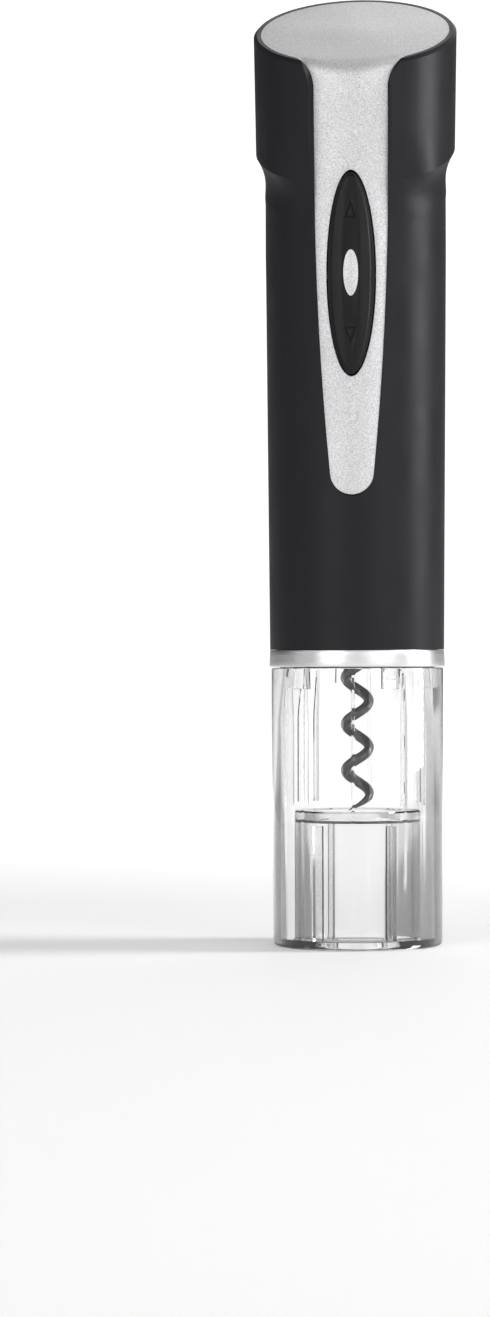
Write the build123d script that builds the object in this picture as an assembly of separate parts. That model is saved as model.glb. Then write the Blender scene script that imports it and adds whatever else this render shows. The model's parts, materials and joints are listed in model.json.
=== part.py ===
from build123d import *
import os
from math import atan, cos, pi, radians, sin, tan

# Cordless electric wine opener, standing on the rim of its clear sleeve.
# Millimetres. Origin: centre of the sleeve's bottom rim. +Z up, front (button side) towards -Y.

# ---- outside of the body -------------------------------------------------------------------------
BODY_BOTTOM_Z = 85.5
BODY_BOTTOM_R = 25.2
BODY_TOP_R = 26.1
BODY_TAPER_TOP_Z = 200.0         # the body is straight from here up to the flare
COLUMN_TOP_Z = 260.0             # the column is cut by the slanted plane below this height
SHELL_BORE_R = 23.6
SLANT = 0.503                    # rise of the top per millimetre towards the back
TOP_Z = 264.7                    # height of the slanted top on the axis
CREASE_Z = 230.3                 # height of the head's lower crease on the axis
HEAD_TOP_R = 29.4
HEAD_CREASE_R = 28.8
FLARE_DROP = 9.0                 # height of the concave flare under the crease
FOOT_DROP = 14.0                 # the head's lowest section, under the crease
RIM_BEVEL_DROP = 0.9
RIM_FLAT_R = 28.5                # the rim is flat inside this radius
HEAD_CAVITY_R = 26.6
TOP_WALL = 2.8

# ---- silver trim: slanted disc and front tongue --------------------------------------------------
DISC_R = 27.3
DISC_THICK = 1.6
TRIM_SINK = 0.1
TONGUE_THICK = 1.0
TONGUE_HALF_W = 10.5
TONGUE_BOTTOM_Z = 129.3
TONGUE_CORNER = (6.2, 135.2)
TONGUE_FULL_W_Z = 225.0
SHOULDER_Z = 243.5
SHOULDER_END = (16.1, 253.7)
BEND_START_Y = -21.9             # the disc starts to bend down on this straight line
BEND_R = 12.0
BEND_EDGE_R = 5.0
LIP_ANGLE = 38.0
FRONT_CLEAR = 45.0               # far enough to the front to pass the whole body

# ---- rocker button and its switches --------------------------------------------------------------
ROCKER_Z = 191.7
ROCKER_HALF_L = 28.5
ROCKER_HALF_W = 6.65
ROCKER_FACE_R = 27.6
ROCKER_BACK_Y = -20.6
ROCKER_PIVOT_Y = -19.0
ROCKER_GAP_W = 0.4
ROCKER_GAP_L = 0.65
ROCKER_BEVEL = 1.2
PIVOT_PIN_R = 1.2
SWITCH_OFFSET = 16.0
PLUNGER_R = 1.5
BOARD_Y = -13.1
BOARD_THICK = 1.2
INLAY_HALF = (2.1, 6.5)
INLAY_DEPTH = 0.5
ARROW_OFFSET = 15.4              # base of each triangle, from the middle of the button
ARROW_HALF_W = 1.7
ARROW_H = 4.9
ARROW_LINE = 0.5
ARROW_DEPTH = 0.55

# ---- sleeve, ring and bayonet --------------------------------------------------------------------
SLEEVE_TOP_Z = 80.25
SLEEVE_TOP_R = 24.9
SLEEVE_BOTTOM_R = 24.5
SLEEVE_INNER_R = 22.3
SLEEVE_NECK_TOP_Z = 90.0
NECK_OUT_R = 22.4
NECK_IN_R = 20.9
NECK_TAPER_Z = 66.0              # the bore narrows from here up to the neck
SOCKET_R = 15.6
GUIDE_TUBE_R = 18.25
SHELF_Z = 36.2
SHELF_TOP_Z = 39.2
CORK_HOLE_R = 12.6
LUG_Z = (84.2, 86.4)
LUG_HALF_DEG = 7.0
TWIST_DEG = 20.0
STOP_R = 19.3
STOP_Z = (74.0, 80.0)
STOP_STARTS = (-134.0, -61.5)    # two rings of three stop blocks
FIN_R = 20.3
FIN_Z = (41.0, 77.5)
FIN_ANGLES = (-147, -129, -51, -33, 33, 51, 83, 97, 129, 147)
GUSSET_Z = (61.0, 78.0)
GUSSET_R = 19.9
FLANGE_Z = (0.7, 2.6)
COLLAR_R = (18.3, 20.7)
COLLAR_Z = (81.0, 91.5)
COLLAR_PLATE_Z = (91.2, 94.0)
RING_Z = (80.45, 85.4)
RING_R = (25.4, 25.2)

# ---- worm and its drive --------------------------------------------------------------------------
WORM_PITCH = 13.0
WORM_R = 4.85
WIRE_R = 1.45
WORM_START_Z = 40.4
WORM_RIGHT_Z = 43.7              # height where the wire passes straight out to +X
WORM_HUB_Z = (85.5, 89.0)
WORM_HUB_R = 4.95
WORM_TURNS = 2.75
WORM_SHANK_R = 2.4
WORM_SHANK_TOP_Z = 99.0
TIP_LEN = 3.2
CROSS_PIN_R = 0.78
CROSS_PIN_Z = 94.5
STEM_R = 7.0
CARRIAGE_HEAD_Z = (131.5, 139.5)
CARRIAGE_HEAD_R = 14.7
GUIDE_R = (15.2, 17.0)
GUIDE_Z = (94.2, 140.6)
FOLLOWER_PIN_R = 1.2
FOLLOWER_Z = 135.5
FOLLOWER_X = (10.5, 16.8)
SLOT_W = 3.2
SPINDLE_FLATS = 6.0
SPINDLE_Z = (104.0, 144.2)

# ---- two-stage planetary gearbox -----------------------------------------------------------------
MODULE = 0.7
SUN_TEETH = 12
PLANET_TEETH = 18
RING_TEETH = SUN_TEETH + 2 * PLANET_TEETH
PLANETS = 3
PRESSURE_DEG = 20.0
ADDENDUM = 0.5
DEDENDUM = 0.8
BACKLASH = 0.5
PLANET_ORBIT_R = MODULE * (SUN_TEETH + PLANET_TEETH) / 2
PLANET_PIN_R = 1.5
GEARBOX_R = 20.2
GEARBOX_Z = (141.0, 162.5)
CARRIER_R = 14.2
CARRIER_HOLE_R = 2.2
SCREW_ORBIT_R = 19.0
SCREW_HOLE_R = 0.8
SPINDLE_HEAD_R = 4.0
LOWER_STAGE_Z = (146.1, 151.6)
UPPER_STAGE_Z = (154.6, 160.1)

# ---- motor ---------------------------------------------------------------------------------------
MOTOR_R = 12.2
MOTOR_Z = (164.6, 190.0)
SHAFT_R = 1.15
MOTOR_BOSS_R = 4.0
MAGNET_Z = (168.0, 186.0)
CORE_Z = (169.0, 184.0)
MOTOR_WALL = 0.8
TERMINAL_X = 5.5

# ---- chassis and cells ---------------------------------------------------------------------------
CHASSIS_R = (21.4, 23.3)
CHASSIS_Z = (94.3, 197.5)
CHASSIS_SCREWS = [(-19.4, 104.0), (19.4, 104.0), (-19.4, 134.0), (19.4, 134.0), (18.4, 178.0)]
CHASSIS_RIBS = [(GUIDE_R[1], 96.0), (GUIDE_R[1], 138.0), (GEARBOX_R, 142.5), (GEARBOX_R, 159.5),
                (MOTOR_R, 168.0), (MOTOR_R, 186.5)]
RIB_THICK = 1.8
CELL_R = 7.1
CELL_OFFSET = 7.2
CELL_SHIFT_Y = 5.5
CELL_Z = (202.2, 251.7)
NUB_HEIGHT = 1.0
HOLDER_Z = (199.0, 200.4)
HOLDER_TOP_Z = (253.5, 254.9)
HOLDER_WALL_R = (7.25, 7.9)
COVER_HALF_W = 15.2
COVER_Z = (199.8, 257.0)
COVER_GAP = 0.25
GRIP_GROOVE = (6.0, 1.0)         # half width and height of each grip groove on the cover

FRONT = Plane.XZ                 # local x is +X, local y is +Z, extrusion runs to -Y


# ---- general shapes ------------------------------------------------------------------------------
def rod(radius, z0, z1, x=0.0, y=0.0):
    return Pos(x, y, (z0 + z1) / 2) * Cylinder(radius, z1 - z0)


def tube(r_in, r_out, z0, z1, x=0.0, y=0.0):
    return rod(r_out, z0, z1, x, y) - rod(r_in, z0 - 1, z1 + 1, x, y)


def block(x0, x1, y0, y1, z0, z1):
    return Pos((x0 + x1) / 2, (y0 + y1) / 2, (z0 + z1) / 2) * Box(x1 - x0, y1 - y0, z1 - z0)


def turned(points):
    """A solid of revolution from its (radius, z) outline."""
    return revolve(FRONT * make_face(Polyline(*points, close=True)), axis=Axis.Z)


def sector(r_in, r_out, z0, z1, middle_deg, half_deg):
    """A block of a ring, centred on an angle measured from +X."""
    outline = FRONT * make_face(Polyline((r_in, z0), (r_out, z0), (r_out, z1), (r_in, z1), close=True))
    return Rot(0, 0, middle_deg - half_deg) * revolve(outline, axis=Axis.Z, revolution_arc=2 * half_deg)


def slant_plane(z_on_axis):
    return Plane(origin=(0, 0, z_on_axis), x_dir=(1, 0, 0), z_dir=(0, -SLANT, 1))


def below(solid, z_on_axis):
    return split(solid, bisect_by=slant_plane(z_on_axis), keep=Keep.BOTTOM)


def above(solid, z_on_axis):
    return split(solid, bisect_by=slant_plane(z_on_axis), keep=Keep.TOP)


def around(count, shape, radius=0.0, start_deg=0.0):
    """Copies of one shape, equally spaced about the Z axis."""
    steps = [start_deg + 360 * k / count for k in range(count)]
    return [Rot(0, 0, a) * Pos(radius, 0, 0) * shape for a in steps]


def across(radius, x0, x1, y, z):
    """A rod along X."""
    return Pos((x0 + x1) / 2, y, z) * Rot(0, 90, 0) * Cylinder(radius, x1 - x0)


def inward(radius, y0, y1, x, z):
    """A rod along Y."""
    return Pos(x, (y0 + y1) / 2, z) * Rot(90, 0, 0) * Cylinder(radius, y1 - y0)


def helix_sweep(section, pitch, radius, z0, z1, start_deg, width=None):
    """Sweep a circle, or a square-edged slot of a stated width, along a right-handed helix."""
    path = Pos(0, 0, z0) * Rot(0, 0, start_deg) * Helix(pitch=pitch, height=z1 - z0, radius=radius)
    a = radians(start_deg)
    start = Plane(origin=path @ 0, x_dir=(cos(a), sin(a), 0), z_dir=path % 0)
    face = start * (Circle(section) if width is None else Rectangle(section, width))
    return sweep(face, path=path, is_frenet=True)


# ---- outside of the body -------------------------------------------------------------------------
def head_radius(angle_deg, drop):
    """Radius of the head at a distance below its crease: sharp all round, softened at the front."""
    off_front = abs((angle_deg + 90 + 180) % 360 - 180)
    soft = max(0.0, min(1.0, (52 - off_front) / 26))
    soft = soft * soft * (3 - 2 * soft)
    if drop <= 0:
        sharp = HEAD_CREASE_R + (HEAD_TOP_R - HEAD_CREASE_R) * (-drop) / (TOP_Z - CREASE_Z)
    else:
        sharp = BODY_TOP_R + (HEAD_CREASE_R - BODY_TOP_R) * max(0.0, 1 - drop / FLARE_DROP) ** 2
    reach = max(0.0, min(1.0, (14 - drop) / 32))
    smooth = BODY_TOP_R + (HEAD_TOP_R - 0.2 - BODY_TOP_R) * reach * reach * (3 - 2 * reach)
    return sharp + (smooth - sharp) * soft


def head_section(drop, radius=None):
    """The head's outline in a plane parallel to its slanted top."""
    points = []
    for k in range(36):
        angle = radians(10 * k)
        r = radius or head_radius(10 * k, drop)
        y = r * sin(angle)
        points.append((r * cos(angle), y, CREASE_Z - drop + SLANT * y))
    return Face(Wire(Spline(*points, periodic=True)))


def body_outside():
    rim_drop = CREASE_Z - TOP_Z + RIM_BEVEL_DROP
    foot = head_section(FOOT_DROP, BODY_TOP_R + 0.06)
    flare = loft([foot] + [head_section(d) for d in (9.0, 6.5, 4.0, 2.0, 0.0)])
    band = loft([head_section(d) for d in (0.0, -4.0, -8.0, -13.0, -18.0, -26.0, rim_drop)])
    rim = loft([head_section(rim_drop), head_section(CREASE_Z - TOP_Z, RIM_FLAT_R)], ruled=True)
    column = turned([(0, BODY_BOTTOM_Z), (BODY_BOTTOM_R, BODY_BOTTOM_Z), (BODY_TOP_R, BODY_TAPER_TOP_Z),
                     (BODY_TOP_R, COLUMN_TOP_Z), (0, COLUMN_TOP_Z)])
    return below(column, CREASE_Z - FOOT_DROP) + flare + band + rim


def tongue_outline(grow=0.0):
    """Front view of the tongue and of the shoulders that carry it into the slanted disc."""
    corner_x, corner_z = TONGUE_CORNER
    end_x, end_z = SHOULDER_END
    half = TONGUE_HALF_W + grow

    def side(sign):
        taper = ThreePointArc((sign * half, TONGUE_FULL_W_Z), (sign * (8.75 + grow), 167.0),
                              (sign * (corner_x + grow), corner_z))
        shoulder = ThreePointArc((sign * half, SHOULDER_Z), (sign * (11.7 + grow), 249.1),
                                 (sign * (end_x + grow), end_z))
        straight = Line((sign * half, TONGUE_FULL_W_Z), (sign * half, SHOULDER_Z))
        upright = Line((sign * (end_x + grow), end_z), (sign * (end_x + grow), end_z + 8))
        return [taper, straight, shoulder, upright]

    bottom = ThreePointArc((-corner_x - grow, corner_z), (0, TONGUE_BOTTOM_Z - grow),
                           (corner_x + grow, corner_z))
    top = Line((-end_x - grow, end_z + 8), (end_x + grow, end_z + 8))
    return make_face(side(-1) + side(1) + [bottom, top])


def tongue_prism(grow=0.0):
    return extrude(FRONT * tongue_outline(grow), amount=FRONT_CLEAR)


def tongue_lip():
    """The flared opening that gives the black lip round the tongue its slanted faces."""
    return extrude(FRONT.offset(25.0) * tongue_outline(0.1), amount=8, taper=-LIP_ANGLE)


def bend_profile(inset):
    """Side view of the solid under the trim: slanted top, round bend, upright front."""
    lean = atan(SLANT)
    radius = BEND_R - inset
    centre_y = BEND_START_Y + BEND_R * sin(lean)
    centre_z = TOP_Z - TRIM_SINK + SLANT * BEND_START_Y - BEND_R * cos(lean)

    def on_bend(angle):
        return centre_y + radius * cos(angle), centre_z + radius * sin(angle)

    start = on_bend(pi / 2 + lean)
    front = on_bend(pi)
    back = (40, start[1] + SLANT * (40 - start[0]))
    bend = ThreePointArc(start, on_bend(3 * pi / 4 + lean / 2), front)
    rest = Polyline(front, (front[0], 100), (40, 100), back, start)
    return make_face([bend, rest])


def trim_surface(inset):
    """The solid under the trim's visible surface, moved in by a stated depth."""
    profile = [(0, 110), (25.45 - inset, 110), (25.45 - inset, 129), (25.9 - inset, 208),
               (DISC_R - inset, 245.5), (DISC_R - inset, 300), (0, 300)]
    solid = turned(profile) & extrude(Plane.YZ * bend_profile(inset), amount=40, both=True)
    high_edges = solid.edges().filter_by(lambda e: e.center().Z > 246)
    return fillet(high_edges.sort_by(Axis.Y)[0], BEND_EDGE_R - inset)


def sheared_rod(radius, z0_on_axis, z1_on_axis):
    return below(above(rod(radius, 150, 320), z0_on_axis), z1_on_axis)


def rocker_ellipse(grow_l, grow_w):
    return Pos(0, ROCKER_Z) * Ellipse(ROCKER_HALF_W + grow_w, ROCKER_HALF_L + grow_l)


def rocker_opening(extra=0.0):
    outline = rocker_ellipse(ROCKER_GAP_L + extra, ROCKER_GAP_W + extra)
    return extrude(FRONT.offset(15) * outline, amount=20)


def top_trim():
    slab = sheared_rod(DISC_R, TOP_Z - DISC_THICK, TOP_Z - TRIM_SINK)
    disc = slab & block(-40, 40, BEND_START_Y, 40, 150, 320)
    skin = (trim_surface(0.0) - trim_surface(TONGUE_THICK)) & tongue_prism()
    skin = skin & block(-40, 40, -40, BEND_START_Y + 8, 100, 320)
    front = skin - block(-40, 40, -10, 40, 100, 320)
    return disc + front - rocker_opening()


def body_shell(outside):
    bore = rod(SHELL_BORE_R, BODY_BOTTOM_Z - 1, 300)
    head_cavity = sheared_rod(HEAD_CAVITY_R, CREASE_Z + 3, 300) & block(-40, 40, -8, 40, 150, 320)
    inside = below(bore + head_cavity, TOP_Z - TOP_WALL)
    shell = outside - inside
    pocket = tongue_prism(0.1) - trim_surface(TONGUE_THICK + 0.05)
    disc_seat = sheared_rod(DISC_R + 0.1, TOP_Z - DISC_THICK - 0.05, TOP_Z + 5)
    shell = shell - pocket - tongue_lip() - disc_seat
    cover_hole = block(-COVER_HALF_W, COVER_HALF_W, 10, 40, *COVER_Z)
    return shell - rocker_opening(0.3) - cover_hole


def battery_cover(outside):
    bore = rod(SHELL_BORE_R, 100, 300)
    head_cavity = sheared_rod(HEAD_CAVITY_R, CREASE_Z + 3, 300)
    half = COVER_HALF_W - COVER_GAP
    window = block(-half, half, 10, 40, COVER_Z[0] + COVER_GAP, COVER_Z[1] - COVER_GAP)
    cover = (outside - bore - head_cavity) & window
    groove_w, groove_h = GRIP_GROOVE
    for k in range(5):
        z = 207.0 + 2.2 * k
        cover -= block(-groove_w, groove_w, 25.6, 30, z, z + groove_h)
    return cover


# ---- sleeve, neck guide, ring, collar ------------------------------------------------------------
def clear_sleeve():
    round_r = 1.2
    outline = [(SLEEVE_INNER_R, 0), (SLEEVE_BOTTOM_R - round_r, 0), (SLEEVE_BOTTOM_R - 0.35, 0.35),
               (SLEEVE_BOTTOM_R, round_r), (SLEEVE_TOP_R, SLEEVE_TOP_Z - 0.4),
               (SLEEVE_TOP_R - 0.4, SLEEVE_TOP_Z), (NECK_OUT_R, SLEEVE_TOP_Z),
               (NECK_OUT_R, SLEEVE_NECK_TOP_Z), (NECK_IN_R, SLEEVE_NECK_TOP_Z), (NECK_IN_R, SLEEVE_TOP_Z),
               (SLEEVE_INNER_R, NECK_TAPER_Z)]
    sleeve = turned(outline)
    for start in STOP_STARTS:
        sleeve += around(3, sector(STOP_R, SLEEVE_INNER_R + 0.6, *STOP_Z, 0, 6), start_deg=start)
    sleeve += around(3, sector(19.75, NECK_IN_R + 0.4, *LUG_Z, 0, LUG_HALF_DEG), start_deg=-90)
    fin = block(FIN_R, SLEEVE_INNER_R + 0.5, -0.5, 0.5, *FIN_Z)
    sleeve += [Rot(0, 0, angle) * fin for angle in FIN_ANGLES]
    return sleeve + sleeve_gusset()


def sleeve_gusset():
    """A web at the front of the sleeve, narrowing downwards."""
    foot_z, head_z = GUSSET_Z
    outline = Polyline((-0.8, head_z), (0.8, head_z), (0.15, foot_z), (-0.15, foot_z), close=True)
    web = extrude(FRONT * make_face(outline), amount=SLEEVE_INNER_R + 0.6 - GUSSET_R)
    return Pos(0, -GUSSET_R, 0) * web


def neck_guide():
    outline = [(SOCKET_R + 1.5, FLANGE_Z[0]), (SLEEVE_INNER_R - 0.05, FLANGE_Z[0]),
               (SLEEVE_INNER_R - 0.05, FLANGE_Z[1]), (GUIDE_TUBE_R, FLANGE_Z[1]),
               (GUIDE_TUBE_R, SHELF_TOP_Z), (CORK_HOLE_R, SHELF_TOP_Z), (CORK_HOLE_R, SHELF_Z + 0.3),
               (CORK_HOLE_R + 0.3, SHELF_Z), (SOCKET_R, SHELF_Z), (SOCKET_R, 3.2)]
    guide = turned(outline)
    fin = block(GUIDE_TUBE_R - 0.3, SLEEVE_INNER_R - 0.1, -0.6, 0.6, FLANGE_Z[1] - 0.2, SHELF_TOP_Z - 4)
    return guide + around(6, fin)


def trim_ring():
    return turned([(22.65, RING_Z[0]), (RING_R[0] - 0.3, RING_Z[0]), (RING_R[0], RING_Z[0] + 0.3),
                   (RING_R[1], RING_Z[1] - 0.2), (RING_R[1] - 0.2, RING_Z[1]), (23.35, RING_Z[1]),
                   (23.35, 90.8), (22.65, 90.8)])


def bayonet_collar():
    """Plate and collar that carry the sleeve: three lugs turn in a closed groove beside an entry slot."""
    collar = tube(*COLLAR_R, *COLLAR_Z) + rod(CHASSIS_R[1], *COLLAR_PLATE_Z) - rod(9.1, 80, 100)
    for k in range(3):
        middle = -90 + 120 * k + TWIST_DEG / 2
        half = LUG_HALF_DEG + TWIST_DEG / 2 + 1.0
        collar -= sector(19.5, 22, LUG_Z[0] - 0.25, LUG_Z[1] + 0.25, middle, half)
        collar -= sector(19.5, 22, 80, LUG_Z[1], -90 + 120 * k + TWIST_DEG, LUG_HALF_DEG + 1.0)
    return collar


def carriage_bush():
    return tube(STEM_R + 0.1, 9.05, 90.4, 94.0) + tube(STEM_R + 0.1, 11.0, 89.4, 91.1)


# ---- worm, carriage and guide --------------------------------------------------------------------
def worm():
    path_r = WORM_R - WIRE_R
    start_deg = (WORM_START_Z - WORM_RIGHT_Z) / WORM_PITCH * 360
    coil = helix_sweep(WIRE_R, WORM_PITCH, path_r, WORM_START_Z, WORM_HUB_Z[0] + 1.6, start_deg)
    lead = atan(WORM_PITCH / (2 * pi * path_r))
    a = radians(start_deg)
    tangent = Vector(-sin(a) * cos(lead), cos(a) * cos(lead), sin(lead))
    base = Vector(path_r * cos(a), path_r * sin(a), WORM_START_Z)
    tip_plane = Plane(origin=base - tangent * (TIP_LEN / 2 - 0.25), z_dir=-tangent)
    tip = tip_plane * Cone(WIRE_R - 0.15, 0.15, TIP_LEN)
    hub = rod(WORM_HUB_R, *WORM_HUB_Z)
    shank = rod(WORM_SHANK_R, WORM_HUB_Z[1] - 0.5, WORM_SHANK_TOP_Z)
    return coil + tip + hub + shank - cross_pin_hole()


def cross_pin_hole():
    return across(CROSS_PIN_R + 0.02, -8, 8, 0, CROSS_PIN_Z)


def worm_carriage():
    """Stem and head that slide on the spindle, bored for the hexagon, the worm and the pins."""
    head = rod(CARRIAGE_HEAD_R, *CARRIAGE_HEAD_Z) - tube(9.5, 12.6, 130, 134.5)
    body = head + rod(STEM_R, WORM_HUB_Z[1] + 0.05, CARRIAGE_HEAD_Z[0] + 1)
    hexagon = RegularPolygon(SPINDLE_FLATS / 2 + 0.08, 6, major_radius=False)
    body -= Pos(0, 0, 102) * extrude(hexagon, amount=40)
    body -= rod(WORM_SHANK_R + 0.05, 88, WORM_SHANK_TOP_Z + 0.2)
    return body - cross_pin_hole() - follower_pins()


def follower_pins():
    inner, outer = FOLLOWER_X
    right = across(FOLLOWER_PIN_R, inner, outer, 0, FOLLOWER_Z)
    left = across(FOLLOWER_PIN_R, -outer, -inner, 0, FOLLOWER_Z)
    return [right, left]


def guide_slot(start):
    """One helical slot with round ends; the start angle is where its upper end stands."""
    radius = sum(GUIDE_R) / 2
    z0 = FOLLOWER_Z - WORM_PITCH * WORM_TURNS - 0.4
    z1 = FOLLOWER_Z + 0.4
    start_deg = start + (z0 - FOLLOWER_Z) / WORM_PITCH * 360
    slot = helix_sweep(5.0, WORM_PITCH, radius, z0, z1, start_deg, width=SLOT_W)
    for z in (z0, z1):
        a = radians(start + (z - FOLLOWER_Z) / WORM_PITCH * 360)
        slot += Pos(radius * cos(a), radius * sin(a), z) * Sphere(SLOT_W / 2)
    return slot


def guide_sleeve():
    """Fixed tube with two helical slots that feed the worm down at its own pitch."""
    return tube(*GUIDE_R, *GUIDE_Z) - guide_slot(0) - guide_slot(180)


def hex_spindle():
    hexagon = RegularPolygon(SPINDLE_FLATS / 2, 6, major_radius=False)
    spindle = Pos(0, 0, SPINDLE_Z[0]) * extrude(hexagon, amount=140.0 - SPINDLE_Z[0])
    return spindle + rod(SPINDLE_HEAD_R, 139.9, SPINDLE_Z[1])


# ---- gearbox -------------------------------------------------------------------------------------
def tooth_half_widths(inner):
    """Half widths of a straight-sided tooth at its tip and at its root."""
    at_pitch = pi * MODULE / 4 - BACKLASH / 4
    rise = tan(radians(PRESSURE_DEG))
    return at_pitch - ADDENDUM * rise, at_pitch + inner * rise


def toothed_outline(teeth, phase_deg, internal=False):
    pitch_r = MODULE * teeth / 2
    side = -1 if internal else 1
    tip_r, root_r = pitch_r + side * ADDENDUM, pitch_r - side * DEDENDUM
    tip_half, root_half = tooth_half_widths(DEDENDUM)
    points = []
    for k in range(teeth):
        a = radians(phase_deg + 360 * k / teeth)
        for r, t in ((root_r, -root_half), (tip_r, -tip_half), (tip_r, tip_half), (root_r, root_half)):
            points.append((r * cos(a) - t * sin(a), r * sin(a) + t * cos(a)))
    return make_face(Polyline(*points, close=True))


def gear(teeth, z0, z1, bore_r, phase_deg=0.0):
    wheel = Pos(0, 0, z0) * extrude(toothed_outline(teeth, phase_deg), amount=z1 - z0)
    return wheel - rod(bore_r, z0 - 1, z1 + 1) if bore_r else wheel


def planet(z0, z1, index):
    wheel = gear(PLANET_TEETH, z0, z1, PLANET_PIN_R + 0.06, phase_deg=180.0 / PLANET_TEETH)
    return Rot(0, 0, 360 * index / PLANETS) * Pos(PLANET_ORBIT_R, 0, 0) * wheel


def carrier(z0, z1, pin_top):
    disc = rod(CARRIER_R, z0, z1)
    for pin in around(PLANETS, rod(PLANET_PIN_R, z1 - 0.5, pin_top), PLANET_ORBIT_R):
        disc += pin
    for hole in around(PLANETS, rod(CARRIER_HOLE_R, z0 - 1, z1 + 1), PLANET_ORBIT_R, 60):
        disc -= hole
    return disc


def output_carrier():
    return carrier(144.3, 145.8, 151.9)


def first_carrier():
    return carrier(152.4, 154.2, 160.4) + gear(SUN_TEETH, 146.3, 152.6, 0)


def gearbox_housing():
    cavity = Pos(0, 0, 143.6) * extrude(toothed_outline(RING_TEETH, 0, internal=True), amount=25)
    housing = rod(GEARBOX_R, *GEARBOX_Z) - cavity - rod(SPINDLE_HEAD_R + 2, 140, 145)
    for hole in around(4, rod(SCREW_HOLE_R, 155, 163), SCREW_ORBIT_R, 45):
        housing -= hole
    return housing


def spindle_bush():
    bore_r = SPINDLE_HEAD_R + 0.06
    return tube(bore_r, SPINDLE_HEAD_R + 1.95, GEARBOX_Z[0], 143.6) + tube(bore_r, 7.0, 143.6, 144.1)


def motor_plate():
    """Round plate between the gearbox and the motor, cut straight behind the button."""
    plate = rod(GEARBOX_R, 162.6, 164.5) - rod(MOTOR_BOSS_R + 0.1, 162, 165)
    plate -= block(-9, 9, -30, -17.4, 160, 170)
    hole = rod(SCREW_HOLE_R, 162, 165)
    return plate - around(4, hole, SCREW_ORBIT_R, 45) - around(2, hole, 8.0)


def pan_screw(radius, length, head_r, head_h):
    """A screw standing on its point, with a cross recess in its head."""
    shank = rod(radius, -length, 0.01)
    head = rod(head_r, 0, head_h)
    slot = block(-head_r * 0.6, head_r * 0.6, -0.22, 0.22, head_h * 0.45, head_h + 1)
    return shank + head - slot - Rot(0, 0, 90) * slot


def gearbox_screws():
    screw = Pos(0, 0, 164.55) * pan_screw(0.75, 8.0, 1.15, 1.0)
    return around(4, screw, SCREW_ORBIT_R, 45)


# ---- motor ---------------------------------------------------------------------------------------
def motor_can():
    can = rod(MOTOR_R, *MOTOR_Z) - rod(MOTOR_R - MOTOR_WALL, MOTOR_Z[0] + 1.0, MOTOR_Z[1] + 1)
    boss = rod(MOTOR_BOSS_R, 163.0, MOTOR_Z[0] + 0.1)
    return can + boss - rod(SHAFT_R + 0.06, 160, 170)


def motor_magnets():
    return [sector(9.4, MOTOR_R - MOTOR_WALL - 0.05, *MAGNET_Z, a, 62) for a in (0, 180)]


def motor_end_cap():
    cap = rod(MOTOR_R - MOTOR_WALL - 0.05, 188.2, MOTOR_Z[1]) + rod(MOTOR_R - 0.1, MOTOR_Z[1], 192.0)
    return cap - rod(SHAFT_R + 0.06, 180, 195)


def motor_terminals():
    return [block(x - 1.2, x + 1.2, 5.4, 5.9, 192.0, 196.2) for x in (-TERMINAL_X, TERMINAL_X)]


def motor_shaft():
    return rod(SHAFT_R, 156.0, 191.6)


def motor_armature():
    """Three-pole laminated core and commutator on the shaft."""
    core = rod(4.2, *CORE_Z)
    for a in (90, 210, 330):
        core += Rot(0, 0, a) * block(0, 7.0, -1.5, 1.5, *CORE_Z)
        core += sector(6.6, 8.9, *CORE_Z, a, 48)
    return core + rod(2.8, CORE_Z[1], 187.6) - rod(SHAFT_R, 160, 195)


def motor_pinion():
    return gear(SUN_TEETH, 154.8, 162.0, SHAFT_R)


# ---- chassis -------------------------------------------------------------------------------------
def chassis():
    """Barrel round the drive, with ribs that hold each unit and bosses for the screws."""
    frame = tube(*CHASSIS_R, *CHASSIS_Z)
    for held_r, z in CHASSIS_RIBS:
        frame += tube(held_r + 0.1, CHASSIS_R[0] + 0.2, z, z + RIB_THICK)
    for y, z in CHASSIS_SCREWS:
        frame += across(2.2, -7.0, 7.0, y, z)
        frame -= across(1.0, -7.5, 8.5, y, z)
        frame -= across(2.0, 5.5, 24.0, y, z)
    return frame - block(-12.2, 12.2, -40, -11.0, 162.0, 230)


def chassis_left(frame):
    return frame & block(-40, -0.05, -40, 40, 80, 240)


def chassis_right(frame):
    return frame & block(0.05, 40, -40, 40, 80, 240)


def chassis_screws():
    return [Pos(5.5, y, z) * Rot(0, 90, 0) * pan_screw(0.98, 12.0, 1.9, 1.4) for y, z in CHASSIS_SCREWS]


# ---- rocker, switches and board ------------------------------------------------------------------
def arrow(z_base, direction):
    """An outlined triangle, pointing up or down, for the engraving on the button."""
    slope = ARROW_H / ARROW_HALF_W
    foot = ARROW_LINE
    peak = ARROW_H - ARROW_LINE * (1 + slope * slope) ** 0.5
    inner_half = (peak - foot) / slope

    def triangle(half, low, high):
        corners = [(-half, z_base + direction * low), (half, z_base + direction * low),
                   (0, z_base + direction * high)]
        return make_face(Polyline(*corners, close=True))

    outline = triangle(ARROW_HALF_W, 0, ARROW_H) - triangle(inner_half, foot, peak)
    return extrude(FRONT.offset(20) * outline, amount=20)


def rocker_surface(inset):
    return rod(ROCKER_FACE_R - inset, 150, 235)


def inlay_prism(grow=0.0):
    half_w, half_l = INLAY_HALF
    return extrude(FRONT.offset(20) * (Pos(0, ROCKER_Z) * Ellipse(half_w + grow, half_l + grow)), amount=20)


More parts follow.
